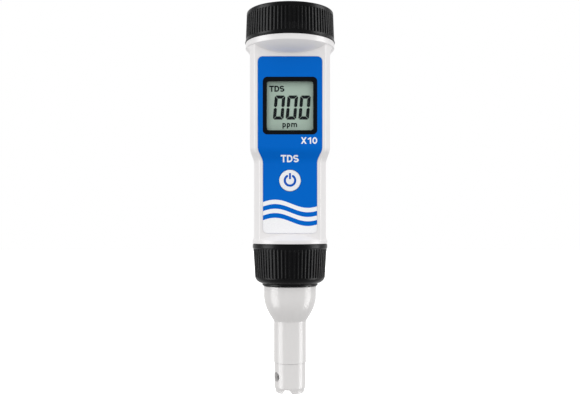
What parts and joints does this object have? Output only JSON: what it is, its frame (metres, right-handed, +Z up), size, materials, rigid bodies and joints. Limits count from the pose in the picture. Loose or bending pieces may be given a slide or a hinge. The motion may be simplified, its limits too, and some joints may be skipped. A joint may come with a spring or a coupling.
{
  "type": "total dissolved solids meter",
  "caption": "Pen-shaped water tester: white waisted body, blue label, segment display and round key, black ribbed screw cap and collar nut, white bulb and stem, slotted probe guard.",
  "frame": {"origin": "centre of the box at the tip of the probe guard, on the pen's axis", "axes": "+Z up the pen from the probe tip to the screw cap, front with display and key to -Y, +X to the right seen from the front"},
  "size_m": [0.0408, 0.0408, 0.1722],
  "materials": {
    "white_plastic": "smooth moulded white, softly glossy",
    "key_plastic": "smooth white key with a printed blue sign",
    "label_film": "satin printed film, blue with white",
    "black_gloss": "smooth black frame",
    "clear_window": "clear polished plate",
    "display_glass": "grey-green display glass with dark digits",
    "inner_plastic": "plain natural plastic",
    "black_rubber": "soft black rubber",
    "board_laminate": "green lacquered laminate",
    "chip_plastic": "black moulded package",
    "component_metal": "bright cans and ends",
    "steel": "bright drawn steel",
    "cell_steel": "plated can",
    "spring_metal": "nickel-plated spring strip",
    "black_plastic": "black moulded plastic with ribs",
    "gold_brass": "gold-plated pins",
    "insulator_plastic": "dark potting resin"
  },
  "bodies": {
    "body": {"housing": "white_plastic", "front_label": "label_film", "display_bezel": "black_gloss", "display_lens": "clear_window", "lcd_panel": "display_glass", "lcd_holder": "inner_plastic", "lcd_connector_strips": "black_rubber", "circuit_board": "board_laminate", "controller_chip": "chip_plastic", "board_components": "component_metal", "switch_body": "chip_plastic", "battery_holder": "inner_plastic", "holder_screws": "steel", "button_cells": "cell_steel", "battery_springs": "spring_metal", "battery_cap_seal": "black_rubber", "electrode_socket": "chip_plastic"},
    "key": {"power_key": "key_plastic"},
    "plunger": {"switch_plunger": "inner_plastic"},
    "contact_carrier": {"contact_plate": "spring_metal"},
    "cap": {"battery_cap": "black_plastic"},
    "electrode_module": {"electrode_body": "white_plastic", "module_seal": "black_rubber", "plug_pins": "gold_brass", "probe_insulator": "insulator_plastic", "electrode_pins": "steel", "temperature_sensor": "steel", "guard_seal": "black_rubber"},
    "collar": {"collar_nut": "black_plastic"},
    "guard": {"probe_guard": "white_plastic"}
  },
  "joints": [
    {"name": "key_press", "type": "slide", "parent": "body", "child": "key", "axis": [0, 1, 0], "range_m": [0, 0.00025], "stiffness_N_per_m": 3000},
    {"name": "plunger_press", "type": "slide", "parent": "body", "child": "plunger", "axis": [0, 1, 0], "range_m": [0, 0.00025]},
    {"name": "cap_turn", "type": "hinge", "parent": "contact_carrier", "child": "cap", "pos_m": [0, 0, 0.158], "axis": [0, 0, 1], "range_deg": [0, 1170]},
    {"name": "carrier_lift", "type": "slide", "parent": "body", "child": "contact_carrier", "axis": [0, 0, 1], "range_m": [0, 0.00976]},
    {"name": "collar_turn", "type": "hinge", "parent": "electrode_module", "child": "collar", "pos_m": [0, 0, 0.058], "axis": [0, 0, -1], "range_deg": [0, 1620]},
    {"name": "module_slide", "type": "slide", "parent": "body", "child": "electrode_module", "axis": [0, 0, -1], "range_m": [0, 0.01351]},
    {"name": "guard_pull", "type": "slide", "parent": "electrode_module", "child": "guard", "axis": [0, 0, -1], "range_m": [0, 0.0105]}
  ],
  "couplings": [
    {"joint": "plunger_press", "follows": "key_press", "ratio": 1},
    {"joint": "carrier_lift", "follows": "cap_turn", "m_per_rad": 0.00047746},
    {"joint": "module_slide", "follows": "collar_turn", "m_per_rad": 0.00047746}
  ]
}
